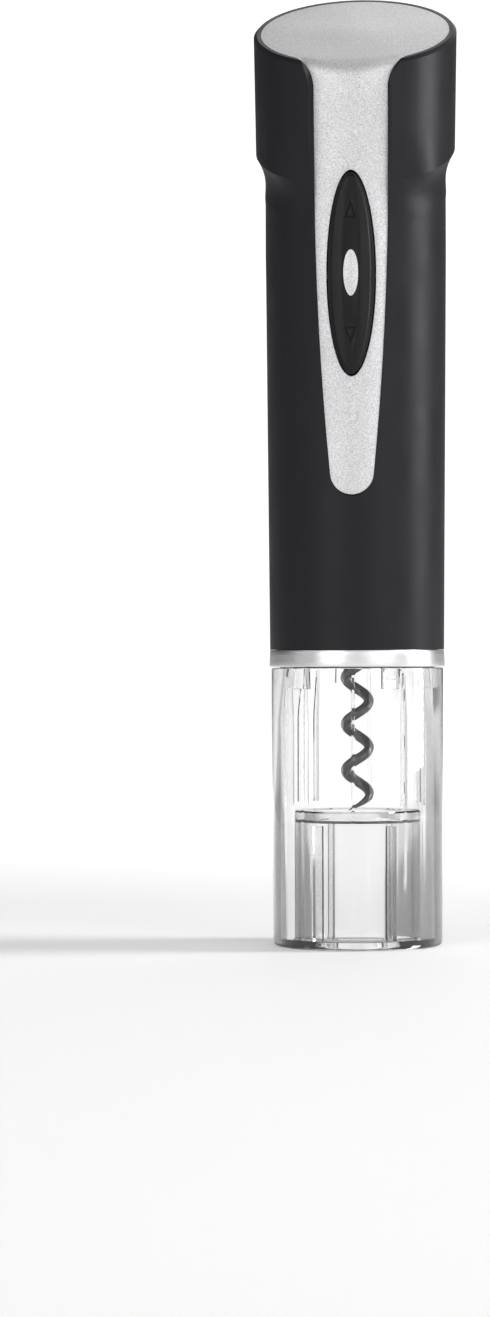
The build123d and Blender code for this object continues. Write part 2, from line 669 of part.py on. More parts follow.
def rocker_button():
    column = extrude(FRONT.offset(-ROCKER_BACK_Y) * rocker_ellipse(0, 0), amount=12)
    narrow = extrude(FRONT.offset(-ROCKER_BACK_Y) * rocker_ellipse(-ROCKER_BEVEL, -ROCKER_BEVEL), amount=12)
    button = (column & rocker_surface(ROCKER_BEVEL)) + (narrow & rocker_surface(0))
    button += block(-5.2, 5.2, -21.0, -17.4, ROCKER_Z - 3.6, ROCKER_Z + 3.6)
    for z in (ROCKER_Z - SWITCH_OFFSET, ROCKER_Z + SWITCH_OFFSET):
        button += block(-2.0, 2.0, -21.0, -18.1, z - 2.0, z + 2.0)
    button -= across(PIVOT_PIN_R + 0.05, -8, 8, ROCKER_PIVOT_Y, ROCKER_Z)
    button -= inlay_prism(0.04) - rocker_surface(INLAY_DEPTH)
    for direction in (1, -1):
        button -= arrow(ROCKER_Z + direction * ARROW_OFFSET, direction) - rocker_surface(ARROW_DEPTH)
    return button


def button_inlay():
    return (inlay_prism() & rocker_surface(-0.05)) - rocker_surface(INLAY_DEPTH)


def rocker_pin():
    return across(PIVOT_PIN_R, -9.4, 9.4, ROCKER_PIVOT_Y, ROCKER_Z)


def button_frame():
    frame = block(-11.4, 11.4, -17.0, -12.9, 164.6, 219.4) - block(-8.3, 8.3, -18, -12, 167.0, 217.0)
    for side in (-1, 1):
        x0, x1 = sorted((side * 7.3, side * 10.2))
        frame += block(x0, x1, -21.0, -14.9, ROCKER_Z - 3.2, ROCKER_Z + 3.2)
    return frame - across(PIVOT_PIN_R, -12, 12, ROCKER_PIVOT_Y, ROCKER_Z)


def switch_board():
    board = block(-8.2, 8.2, BOARD_Y - BOARD_THICK, BOARD_Y, 167.1, 216.9)
    return board - inward(1.0, -16, -12, 0, 212.5) - inward(1.0, -16, -12, 0, 171.0)


def switch_bodies():
    bodies = []
    for z in (ROCKER_Z - SWITCH_OFFSET, ROCKER_Z + SWITCH_OFFSET):
        body = block(-3.1, 3.1, BOARD_Y - 3.4, BOARD_Y - BOARD_THICK, z - 3.1, z + 3.1)
        bodies.append(body - inward(PLUNGER_R + 0.1, BOARD_Y - 4, BOARD_Y - 1.5, 0, z))
    return bodies


def switch_plunger(z):
    return inward(PLUNGER_R, -18.0, BOARD_Y - 2.6, 0, z)


# ---- cells, holder and wiring --------------------------------------------------------------------
def cell_places():
    """Centre of each cell, and whether its positive end is up."""
    places = []
    for i, x in enumerate((-CELL_OFFSET, CELL_OFFSET)):
        for j, y in enumerate((CELL_SHIFT_Y - CELL_OFFSET, CELL_SHIFT_Y + CELL_OFFSET)):
            places.append((x, y, (i + j) % 2 == 0))
    return places


def aa_cells():
    cells = []
    for x, y, up in cell_places():
        cell = rod(CELL_R, *CELL_Z, x, y)
        nub = rod(2.6, CELL_Z[1] - 0.1, CELL_Z[1] + NUB_HEIGHT, x, y)
        if not up:
            nub = rod(2.6, CELL_Z[0] - NUB_HEIGHT, CELL_Z[0] + 0.1, x, y)
        cells.append(cell + nub)
    return cells


def contact_plates():
    plates = []
    for x in (-CELL_OFFSET, CELL_OFFSET):
        plates.append(block(x - 4, x + 4, CELL_SHIFT_Y - 11.5, CELL_SHIFT_Y + 11.5, 253.05, 253.45))
    for y in (CELL_SHIFT_Y - CELL_OFFSET, CELL_SHIFT_Y + CELL_OFFSET):
        plates.append(block(-11.5, 11.5, y - 4, y + 4, 200.45, 200.85))
    return plates


def contact_springs():
    """A short coil at the flat end of each cell."""
    springs = []
    for x, y, up in cell_places():
        z0, z1 = (201.15, 201.85) if up else (252.05, 252.7)
        coil = helix_sweep(0.24, 0.62, 3.6, z0, z1, 0)
        springs.append(Pos(x, y, 0) * coil)
    return springs


def holder_outline(radius):
    corners = [Pos(x, y) * Circle(radius) for x, y, _ in cell_places()]
    span = CELL_OFFSET * 2
    full = span + 2 * radius
    return Pos(0, CELL_SHIFT_Y) * (Rectangle(span, full) + Rectangle(full, span)) + corners


def battery_holder():
    """Floor, roof and cradle walls; open to the back, where the cells go in."""
    inner_r, outer_r = HOLDER_WALL_R
    outline = holder_outline(outer_r)
    floor = Pos(0, 0, HOLDER_Z[0]) * extrude(outline, amount=HOLDER_Z[1] - HOLDER_Z[0])
    roof = Pos(0, 0, HOLDER_TOP_Z[0]) * extrude(outline, amount=HOLDER_TOP_Z[1] - HOLDER_TOP_Z[0])
    height = HOLDER_TOP_Z[0] - HOLDER_Z[1] + 0.4
    wall = extrude(outline, amount=height) - extrude(holder_outline(inner_r), amount=height)
    wall = Pos(0, 0, HOLDER_Z[1] - 0.2) * wall
    wall -= block(-40, 40, CELL_SHIFT_Y + 4, 40, 190, 270)
    for z in (208.0, 226.0, 240.0):
        wall -= block(-6.0, 6.0, -12, -6, z, z + 9)
    return floor + roof + wall


def wire(points, radius):
    path = FilletPolyline(*points, radius=1.0)
    start = Plane(origin=path @ 0, z_dir=path % 0)
    return sweep(start * Circle(radius), path=path)


def board_lead(x, start_y, low_z, high_z, radius):
    """Forward at one height, up behind the switch board, and onto the board."""
    turn_y = -10.9
    return wire([(x, start_y, low_z), (x, turn_y, low_z), (x, turn_y, high_z), (x, -13.0, high_z)], radius)


def motor_leads():
    """From each motor terminal over the motor to the switch board."""
    return [board_lead(side * TERMINAL_X, 5.3, 194.6, 208.0, 0.55) for side in (-1, 1)]


def battery_leads():
    """From under the cell holder to the switch board."""
    return [board_lead(side * 2.5, -3.0, 197.9, 201.5, 0.5) for side in (-1, 1)]


# ---- build and export ----------------------------------------------------------------------------
def build():
    outside = body_outside()
    frame = chassis()
    parts = {
        "body_shell": body_shell(outside),
        "top_trim": top_trim(),
        "battery_cover": battery_cover(outside),
        "trim_ring": trim_ring(),
        "clear_sleeve": clear_sleeve(),
        "neck_guide": neck_guide(),
        "bayonet_collar": bayonet_collar(),
        "carriage_bush": carriage_bush(),
        "worm": worm(),
        "worm_carriage": worm_carriage(),
        "worm_cross_pin": across(CROSS_PIN_R, -6.6, 6.6, 0, CROSS_PIN_Z),
        "follower_pins": follower_pins(),
        "guide_sleeve": guide_sleeve(),
        "hex_spindle": hex_spindle(),
        "spindle_bush": spindle_bush(),
        "output_carrier": output_carrier(),
        "first_carrier": first_carrier(),
        "gearbox_housing": gearbox_housing(),
        "motor_plate": motor_plate(),
        "gearbox_screws": gearbox_screws(),
        "motor_can": motor_can(),
        "motor_magnets": motor_magnets(),
        "motor_end_cap": motor_end_cap(),
        "motor_terminals": motor_terminals(),
        "motor_shaft": motor_shaft(),
        "motor_armature": motor_armature(),
        "motor_pinion": motor_pinion(),
        "chassis_left": chassis_left(frame),
        "chassis_right": chassis_right(frame),
        "chassis_screws": chassis_screws(),
        "rocker_button": rocker_button(),
        "button_inlay": button_inlay(),
        "rocker_pin": rocker_pin(),
        "button_frame": button_frame(),
        "switch_board": switch_board(),
        "switch_bodies": switch_bodies(),
        "upper_plunger": switch_plunger(ROCKER_Z + SWITCH_OFFSET),
        "lower_plunger": switch_plunger(ROCKER_Z - SWITCH_OFFSET),
        "battery_holder": battery_holder(),
        "aa_cells": aa_cells(),
        "contact_plates": contact_plates(),
        "contact_springs": contact_springs(),
        "motor_leads": motor_leads(),
        "battery_leads": battery_leads(),
    }
    for index in range(PLANETS):
        parts[f"lower_planet_{index + 1}"] = planet(*LOWER_STAGE_Z, index)
        parts[f"upper_planet_{index + 1}"] = planet(*UPPER_STAGE_Z, index)
    return parts


os.makedirs("parts", exist_ok=True)
for name, shape in build().items():
    if isinstance(shape, list):
        shape = Compound(children=[solid for item in shape for solid in item.solids()])
    export_step(shape, f"parts/{name}.step")
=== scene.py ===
import json
from math import cos, pi, radians, sin

import bmesh
import bpy
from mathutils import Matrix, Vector


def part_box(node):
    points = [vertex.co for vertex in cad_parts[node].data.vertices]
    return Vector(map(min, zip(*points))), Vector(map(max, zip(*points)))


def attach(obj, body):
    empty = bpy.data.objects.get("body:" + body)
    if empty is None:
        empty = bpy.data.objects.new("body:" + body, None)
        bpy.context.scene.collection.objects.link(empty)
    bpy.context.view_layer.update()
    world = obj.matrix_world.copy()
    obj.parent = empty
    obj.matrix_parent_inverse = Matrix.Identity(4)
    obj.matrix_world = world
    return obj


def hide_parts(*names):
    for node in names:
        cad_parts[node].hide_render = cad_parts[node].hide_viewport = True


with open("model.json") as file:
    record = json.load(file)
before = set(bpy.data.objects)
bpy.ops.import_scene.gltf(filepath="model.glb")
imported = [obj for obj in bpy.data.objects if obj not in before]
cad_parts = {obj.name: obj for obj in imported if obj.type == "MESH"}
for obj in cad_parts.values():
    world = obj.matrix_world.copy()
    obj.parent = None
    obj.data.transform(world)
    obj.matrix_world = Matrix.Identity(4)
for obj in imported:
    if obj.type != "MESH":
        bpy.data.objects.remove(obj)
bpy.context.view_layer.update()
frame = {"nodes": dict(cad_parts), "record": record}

nodes = frame["nodes"]
MM = 0.001
WELD = 0.0005            # millimetres


# ---- materials -----------------------------------------------------------------------------------
def shader_tree(name):
    mat = bpy.data.materials.new(name)
    mat.use_nodes = True
    tree = mat.node_tree
    return mat, tree, tree.nodes["Principled BSDF"]


def object_noise(tree, per_metre, stretch=(1, 1, 1), detail=2.0):
    """Noise fixed to the object, with a stated number of grains per metre."""
    coords = tree.nodes.new("ShaderNodeTexCoord")
    mapping = tree.nodes.new("ShaderNodeMapping")
    mapping.inputs["Scale"].default_value = stretch
    noise = tree.nodes.new("ShaderNodeTexNoise")
    noise.inputs["Scale"].default_value = per_metre
    noise.inputs["Detail"].default_value = detail
    tree.links.new(coords.outputs["Object"], mapping.inputs["Vector"])
    tree.links.new(mapping.outputs["Vector"], noise.inputs["Vector"])
    return noise.outputs["Fac"]


def ranged(tree, source, low, high, from_low=0.3, from_high=0.7):
    """A value carried from one range to another and held at its ends."""
    node = tree.nodes.new("ShaderNodeMapRange")
    limits = {"From Min": from_low, "From Max": from_high, "To Min": low, "To Max": high}
    for socket, value in limits.items():
        node.inputs[socket].default_value = value
    tree.links.new(source, node.inputs["Value"])
    return node.outputs["Result"]


def colours(tree, source, dark, light, low=0.3, high=0.7):
    ramp = tree.nodes.new("ShaderNodeValToRGB")
    ramp.color_ramp.elements[0].position = low
    ramp.color_ramp.elements[0].color = (*dark, 1)
    ramp.color_ramp.elements[1].position = high
    ramp.color_ramp.elements[1].color = (*light, 1)
    tree.links.new(source, ramp.inputs["Fac"])
    return ramp.outputs["Color"]


def grained(name, colour, metallic=0.0, roughness=0.5, grain=3000, spread=0.12, rough_spread=0.06,
            bump=0.02, depth=0.00005, stretch=(1, 1, 1), broad=60, **fixed):
    """A surface with fine grain in its colour and relief, and broad patches in its roughness."""
    mat, tree, shader = shader_tree(name)
    fine = object_noise(tree, grain, stretch)
    patches = object_noise(tree, broad)
    dark = [c * (1 - spread) for c in colour]
    light = [min(1.0, c * (1 + spread)) for c in colour]
    tree.links.new(colours(tree, fine, dark, light), shader.inputs["Base Color"])
    rough = ranged(tree, patches, roughness - rough_spread, roughness + rough_spread)
    tree.links.new(rough, shader.inputs["Roughness"])
    relief = tree.nodes.new("ShaderNodeBump")
    relief.inputs["Strength"].default_value = bump
    relief.inputs["Distance"].default_value = depth
    tree.links.new(fine, relief.inputs["Height"])
    tree.links.new(relief.outputs["Normal"], shader.inputs["Normal"])
    shader.inputs["Metallic"].default_value = metallic
    for socket, value in fixed.items():
        shader.inputs[socket.replace("_", " ")].default_value = value
    return mat


def clear_material():
    """Polycarbonate: a faint smoky tint that shows where the light runs along the wall."""
    mat, tree, shader = shader_tree("clear_polycarbonate")
    shader.inputs["Base Color"].default_value = (0.99, 0.99, 0.99, 1)
    shader.inputs["Transmission Weight"].default_value = 1.0
    shader.inputs["IOR"].default_value = 1.56
    haze = object_noise(tree, 90, detail=3)
    tree.links.new(ranged(tree, haze, 0.0, 0.035), shader.inputs["Roughness"])
    ripple = tree.nodes.new("ShaderNodeBump")
    ripple.inputs["Strength"].default_value = 0.03
    ripple.inputs["Distance"].default_value = 0.0001
    tree.links.new(object_noise(tree, 120, (1, 1, 0.03)), ripple.inputs["Height"])
    tree.links.new(ripple.outputs["Normal"], shader.inputs["Normal"])
    tint = tree.nodes.new("ShaderNodeVolumeAbsorption")
    tint.inputs["Color"].default_value = (0.4, 0.4, 0.41, 1)
    tint.inputs["Density"].default_value = 22.0
    tree.links.new(tint.outputs["Volume"], tree.nodes["Material Output"].inputs["Volume"])
    return mat


MATERIALS = {
    "soft_black": grained(
        "soft_touch_black", (0.0145, 0.0142, 0.0172), roughness=0.4, grain=4200, spread=0.16,
        bump=0.10, Specular_IOR_Level=0.17),
    "button_black": grained(
        "button_black", (0.0085, 0.0085, 0.0098), roughness=0.38, grain=4200, bump=0.06,
        Specular_IOR_Level=0.2),
    "silver_paint": grained(
        "silver_paint", (0.66, 0.66, 0.67), metallic=0.4, roughness=0.5, grain=2600, spread=0.24,
        bump=0.35, Specular_IOR_Level=0.3),
    "satin_metal": grained(
        "satin_metal", (0.8, 0.8, 0.81), metallic=1.0, roughness=0.35, grain=220, spread=0.06,
        bump=0.05, stretch=(1, 1, 40)),
    "clear_plastic": clear_material(),
    "worm_steel": grained(
        "worm_steel", (0.085, 0.087, 0.09), metallic=0.9, roughness=0.3, grain=1500, spread=0.25,
        bump=0.05),
    "steel": grained(
        "machined_steel", (0.5, 0.5, 0.51), metallic=1.0, roughness=0.33, grain=900, bump=0.05,
        stretch=(1, 1, 6)),
    "laminations": grained(
        "laminations", (0.3, 0.29, 0.28), metallic=0.9, roughness=0.45, grain=160, spread=0.3,
        bump=0.3, stretch=(0.1, 0.1, 12)),
    "ferrite": grained(
        "ferrite", (0.06, 0.06, 0.065), roughness=0.7, grain=2500, spread=0.3, bump=0.3),
    "brass": grained(
        "brass", (0.72, 0.52, 0.25), metallic=1.0, roughness=0.3, grain=1500, bump=0.05),
    "brass_bush": grained(
        "sintered_bronze", (0.5, 0.34, 0.18), metallic=1.0, roughness=0.5, grain=3800, spread=0.3,
        bump=0.2),
    "dark_plastic": grained(
        "dark_plastic", (0.03, 0.03, 0.034), roughness=0.48, grain=3600, spread=0.2, bump=0.15),
    "grey_plastic": grained(
        "grey_nylon", (0.16, 0.16, 0.17), roughness=0.5, grain=2600, spread=0.2, bump=0.15),
    "white_plastic": grained(
        "white_acetal", (0.74, 0.73, 0.69), roughness=0.38, grain=1800, spread=0.04, bump=0.06,
        Subsurface_Weight=0.1),
    "circuit_board": grained(
        "circuit_board", (0.03, 0.16, 0.07), roughness=0.32, grain=1100, spread=0.35, bump=0.15),
    "cell_wrap": grained(
        "cell_wrap", (0.09, 0.1, 0.14), roughness=0.22, grain=800, spread=0.12, bump=0.05),
    "red_wire": grained("red_wire", (0.45, 0.02, 0.02), roughness=0.3, grain=1500, bump=0.05),
    "black_wire": grained(
        "black_wire", (0.015, 0.015, 0.015), roughness=0.3, grain=1500, bump=0.05),
}


def dress(obj, slot):
    obj.data.materials.clear()
    obj.data.materials.append(MATERIALS[slot])


for part in frame["record"]["subparts"]:
    dress(nodes[part["node"]], part["material_slot"])


# ---- mesh helpers --------------------------------------------------------------------------------
def loose(name, data):
    obj = bpy.data.objects.new(name, data)
    bpy.context.scene.collection.objects.link(obj)
    return obj


def new_piece(name, mesh_data, slot, body, node):
    """A visible piece that rides a body and takes the place of a CAD node."""
    obj = loose(name, mesh_data)
    dress(obj, slot)
    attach(obj, body)
    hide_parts(node)


def smooth(mesh_data, sharp_deg=35):
    for face in mesh_data.polygons:
        face.use_smooth = True
    mesh_data.set_sharp_from_angle(angle=radians(sharp_deg))


def grid_mesh(name, rows, cap_ends=True):
    """A tube of rings of points, capped at both ends or left open."""
    bm = bmesh.new()
    rings = [[bm.verts.new(p) for p in row] for row in rows]
    count = len(rings[0])
    for low, high in zip(rings, rings[1:]):
        for k in range(count):
            bm.faces.new((low[k], low[(k + 1) % count], high[(k + 1) % count], high[k]))
    if cap_ends:
        bm.faces.new(list(reversed(rings[0])))
        bm.faces.new(rings[-1])
    bmesh.ops.recalc_face_normals(bm, faces=bm.faces[:])
    mesh_data = bpy.data.meshes.new(name)
    bm.to_mesh(mesh_data)
    bm.free()
    return mesh_data


def ring_points(radius, z, count=192):
    angles = (2 * pi * k / count for k in range(count))
    return [(radius * cos(a), radius * sin(a), z) for a in angles]


def lathed(name, outline, hollow=True):
    """A turned mesh from a (radius, z) outline in millimetres; a hollow one closes on itself."""
    rows = [ring_points(r * MM, z * MM) for r, z in outline]
    if hollow:
        rows.append(rows[0])
    data = grid_mesh(name, rows, cap_ends=not hollow)
    if hollow:
        weld(data)
    return data


def weld(data):
    bm = bmesh.new()
    bm.from_mesh(data)
    bmesh.ops.remove_doubles(bm, verts=bm.verts[:], dist=WELD * MM)
    bmesh.ops.recalc_face_normals(bm, faces=bm.faces[:])
    bm.to_mesh(data)
    bm.free()


def prism(name, outline, z0, z1, turn_deg=0.0):
    """An upright prism over a plan outline in millimetres, turned about the axis."""
    c, s = cos(radians(turn_deg)), sin(radians(turn_deg))
    plan = [((x * c - y * s) * MM, (x * s + y * c) * MM) for x, y in outline]
    return grid_mesh(name, [[(x, y, z * MM) for x, y in plan] for z in (z0, z1)])


def arc_block(r_in, r_out, half_deg):
    """Plan outline of a block of a ring, centred on +X."""
    angles = [radians(half_deg * (k - 4) / 4) for k in range(9)]
    outer = [(r_out * cos(a), r_out * sin(a)) for a in angles]
    inner = [(r_in * cos(a), r_in * sin(a)) for a in reversed(angles)]
    return outer + inner


def rib(r_in, r_out, half_w, ease=0.0):
    """Plan outline of a rib along +X, square or with its two inner corners cut off."""
    inner = [(r_in, half_w - ease), (r_in, -half_w + ease)]
    if ease:
        inner = [(r_in + ease, half_w)] + inner + [(r_in + ease, -half_w)]
    return inner + [(r_out, -half_w), (r_out, half_w)]


def joined(base, groups):
    """Unite a mesh with groups of meshes; the members of one group don't meet each other."""
    for group in groups:
        bm = bmesh.new()
        for data in group:
            bm.from_mesh(data)
        both = bpy.data.meshes.new("added")
        bm.to_mesh(both)
        bm.free()
        host, added = loose("host", base), loose("added", both)
        union = host.modifiers.new("union", "BOOLEAN")
        union.operation = "UNION"
        union.solver = "EXACT"
        union.object = added
        evaluated = host.evaluated_get(bpy.context.evaluated_depsgraph_get())
        base = bpy.data.meshes.new_from_object(evaluated)
        for obj in (host, added):
            bpy.data.objects.remove(obj)
    return base


# ---- clear sleeve and neck guide -----------------------------------------------------------------
# All in millimetres and degrees. Radii and heights are pairs, inner or lower first.
SLEEVE_IN_R = 22.3
SLEEVE_SHOULDER_Z = 80.25
SLEEVE_FLARE = 0.4              # the sleeve is this much wider at its shoulder than at its foot
SLEEVE_NECK_R = (20.9, 22.4)
SLEEVE_TAPER_Z = 66.0           # the bore narrows from here up to the neck
FOOT_ROUND = 1.2
SHOULDER_ROUND = 0.4
MOUTH_EASE = 0.3
RIB_R = 20.3
RIB_EASE = 0.2
RIB_Z = (41.0, 77.5)
RIB_ANGLES = (-147, -129, -51, -33, 33, 51, 83, 97, 129, 147)
GUSSET_R = (20.0, 23.0)
GUSSET_Z = (61.0, 78.0)
STOP_R = 19.3
STOP_Z = (74.0, 80.0)
STOP_ANGLES = (-134.0, -61.5)
LUG_R = 19.75
LUG_Z = (84.2, 86.4)
LUG_ANGLE = -90
GUIDE_TUBE_R = 18.25
GUIDE_TOP_Z = 39.2
SOCKET_R = 15.6
CORK_HOLE_R = 12.6
SHELF_Z = 36.2
FLANGE_Z = (0.7, 2.6)
MOULDING_SMOOTH = 25


def quarter_round(centre_r, centre_z, radius, start_deg, steps):
    """Points of a quarter circle, turning anticlockwise in the (radius, z) outline."""
    angles = [radians(start_deg + 90 * k / steps) for k in range(steps + 1)]
    return [(centre_r + radius * cos(a), centre_z + radius * sin(a)) for a in angles]


def sleeve_wall():
    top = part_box("clear_sleeve")[1]
    top_r, top_z = top.x / MM, top.z / MM
    neck_in, neck_out = SLEEVE_NECK_R
    shoulder = SLEEVE_SHOULDER_Z
    foot = quarter_round(top_r - SLEEVE_FLARE - FOOT_ROUND, FOOT_ROUND, FOOT_ROUND, -90, 5)
    crown = quarter_round(top_r - SHOULDER_ROUND, shoulder - SHOULDER_ROUND, SHOULDER_ROUND, 0, 3)
    neck = [(neck_out, shoulder), (neck_out, top_z - MOUTH_EASE), (neck_out - MOUTH_EASE, top_z),
            (neck_in + MOUTH_EASE, top_z), (neck_in, top_z - MOUTH_EASE), (neck_in, shoulder)]
    bore = [(SLEEVE_IN_R, SLEEVE_TAPER_Z), (SLEEVE_IN_R, 0.4), (SLEEVE_IN_R + 0.4, 0.0)]
    return lathed("sleeve_wall", foot + crown + neck + bore)


def clear_sleeve():
    plan = rib(RIB_R, SLEEVE_IN_R + 0.5, 0.5, RIB_EASE)
    ribs = [prism("rib", plan, *RIB_Z, a) for a in RIB_ANGLES]
    ribs.append(prism("gusset", rib(*GUSSET_R, 0.35), *GUSSET_Z, LUG_ANGLE))
    stops = [prism("stop", arc_block(STOP_R, SLEEVE_IN_R + 0.6, 6), *STOP_Z, start + 120 * k)
             for start in STOP_ANGLES for k in range(3)]
    lug = arc_block(LUG_R, SLEEVE_NECK_R[0] + 0.4, 7)
    lugs = [prism("lug", lug, *LUG_Z, LUG_ANGLE + 120 * k) for k in range(3)]
    data = joined(sleeve_wall(), [ribs, stops + lugs])
    smooth(data, MOULDING_SMOOTH)
    new_piece("sleeve_moulding", data, "clear_plastic", "sleeve", "clear_sleeve")


def neck_guide():
    flange_r = SLEEVE_IN_R - 0.05
    low, high = FLANGE_Z
    flange = [(SOCKET_R + 1.5, low), (flange_r - 0.2, low), (flange_r, low + 0.2),
              (flange_r, high - 0.2), (flange_r - 0.2, high)]
    outside = [(GUIDE_TUBE_R + 0.5, high), (GUIDE_TUBE_R, high + 0.5),
               (GUIDE_TUBE_R, GUIDE_TOP_Z - 0.5), (GUIDE_TUBE_R - 0.5, GUIDE_TOP_Z)]
    shelf = [(CORK_HOLE_R + 0.3, GUIDE_TOP_Z), (CORK_HOLE_R, GUIDE_TOP_Z - 0.3),
             (CORK_HOLE_R, SHELF_Z + 0.3), (CORK_HOLE_R + 0.3, SHELF_Z)]
    socket = [(SOCKET_R - 0.4, SHELF_Z), (SOCKET_R, SHELF_Z - 0.4), (SOCKET_R, 3.2)]
    tube = lathed("guide_tube", flange + outside + shelf + socket)
    fin = rib(GUIDE_TUBE_R - 0.35, flange_r - 0.05, 0.6)
    fins = [prism("fin", fin, high - 0.2, GUIDE_TOP_Z - 4, 60 * k) for k in range(6)]
    data = joined(tube, [fins])
    smooth(data, MOULDING_SMOOTH)
    new_piece("guide_moulding", data, "clear_plastic", "sleeve", "neck_guide")


clear_sleeve()
neck_guide()


# ---- trims with eased edges ----------------------------------------------------------------------
# Widths in millimetres.
EASED = {"top_trim": 0.3, "trim_ring": 0.12, "rocker_button": 0.15, "button_inlay": 0.1}
EASED_ABOVE_DEG = 45
CLEAN_UP = 0.004                # edges shorter than this are merged before easing


def eased_copy(node, width):
    """The node's own shape with its sharp edges eased."""
    bm = bmesh.new()
    bm.from_mesh(nodes[node].data)
    bmesh.ops.remove_doubles(bm, verts=bm.verts[:], dist=CLEAN_UP * MM)
    bmesh.ops.dissolve_degenerate(bm, edges=bm.edges[:], dist=CLEAN_UP * MM)
    bmesh.ops.recalc_face_normals(bm, faces=bm.faces[:])
    sharp = [e for e in bm.edges if len(e.link_faces) == 2 and e.is_convex
             and e.calc_face_angle() > radians(EASED_ABOVE_DEG)]
    bmesh.ops.bevel(bm, geom=sharp, offset=width * MM, offset_type="OFFSET", segments=2,
                    profile=0.5, affect="EDGES", clamp_overlap=True)
    data = bpy.data.meshes.new(node + "_eased")
    bm.to_mesh(data)
    bm.free()
    smooth(data, 30)
    return data


def eased_pieces():
    record = frame["record"]
    slots = {part["node"]: part["material_slot"] for part in record["subparts"]}
    bodies = {node: body for body, members in record["behaviour"]["bodies"].items()
              for node in members}
    for node, width in EASED.items():
        new_piece(node + "_eased", eased_copy(node, width), slots[node], bodies[node], node)


eased_pieces()


# ---- worm: one drawn spiral that tapers to its point, with its hub and shank ---------------------
WORM_PITCH = 13.0 * MM
WIRE_R = 1.45 * MM
COIL_R = 3.4 * MM
WORM_RIGHT_Z = 43.7 * MM
TIP_TURNS = 0.42                # the point grows to the full wire over this part of a turn
TIP_END_R = 0.06 * MM
TURN_STEPS = 72
WIRE_SIDES = 28
HUB_OUTLINE = ((3.9, 85.4), (4.6, 85.5), (4.95, 85.85), (4.95, 88.6), (4.6, 88.95),
               (2.4, 88.95), (2.4, 98.7), (2.1, 99.0))


def spiral_mesh():
    """The drawn wire, from its point at the bottom to inside the hub."""
    lo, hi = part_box("worm")
    start_z = lo.z + 0.3 * MM
    end_z = hi.z - 12 * MM
    turns = (end_z - start_z) / WORM_PITCH
    steps = int(turns * TURN_STEPS)
    slope = WORM_PITCH / (2 * pi * COIL_R)
    rows = []
    for i in range(steps + 1):
        turn = turns * i / steps
        z = start_z + turn * WORM_PITCH
        angle = 2 * pi * (z - WORM_RIGHT_Z) / WORM_PITCH
        grow = min(1.0, (turn / TIP_TURNS) ** 0.75)
        radius = max(TIP_END_R, WIRE_R * grow)
        coil_r = COIL_R + (WIRE_R - radius) * 0.35
        out = Vector((cos(angle), sin(angle), 0))
        along = Vector((-sin(angle), cos(angle), slope)).normalized()
        up = along.cross(out)
        centre = out * coil_r + Vector((0, 0, z))
        rows.append([centre + out * radius * cos(t) + up * radius * sin(t)
                     for t in (2 * pi * k / WIRE_SIDES for k in range(WIRE_SIDES))])
    return grid_mesh("worm_spiral", rows)


def worm():
    data = joined(spiral_mesh(), [[lathed("hub", HUB_OUTLINE, hollow=False)]])
    smooth(data, 50)
    new_piece("worm_spiral", data, "worm_steel", "carriage", "worm")


worm()


# ---- stage, camera and light ---------------------------------------------------------------------
AXIS_HEIGHT = 0.083             # the camera is level with this height
CAMERA_DISTANCE = 1.0
CAMERA_AZIMUTH = radians(3.0)
CAMERA_PAN = radians(1.86)
CAMERA_ROLL = radians(0.18)
LENS = 94.3
STUDIO_R = 3.2
STUDIO_CURVE_R = 1.2
STUDIO_HEIGHT = 3.6
STUDIO_SIDES = 96
# The strength of the paper's glow, which is painted light, and, in metres, where each patch of its
# painted light and painted shade fades.
# The strip round BACKDROP_X glows with painted light and keeps the paper pale; off it, the walls
# above the floor are painted darker as painted shade.
BACKDROP_X = -0.28              # middle of the bright strip of paper behind the object
BACKDROP_EDGE = (0.36, 0.52)    # distances from that middle
BACKDROP_Y = (-0.2, 0.9)
PALE_FLOOR_Z = (0.0, 0.9)
PALE_FRONT = 0.6
PALE_FRONT_Y = (0.0, 1.1)
FLOOR_GLOW = 0.34
FLOOR_GLOW_R = (0.5, 2.4)       # distances from the origin
FRONT_GLOW = 0.5
FRONT_GLOW_Y = (-2.4, -1.0)
GLOW_STRENGTH = 0.72
AMBIENT = 0.05
LIGHT_AIM = Vector((0, 0, 0.15))


def combined(tree, operation, first, second=0.0):
    """One maths node; the second input is a link or a number."""
    node = tree.nodes.new("ShaderNodeMath")
    node.operation = operation
    tree.links.new(first, node.inputs[0])
    if isinstance(second, float):
        node.inputs[1].default_value = second
    else:
        tree.links.new(second, node.inputs[1])
    return node.outputs[0]


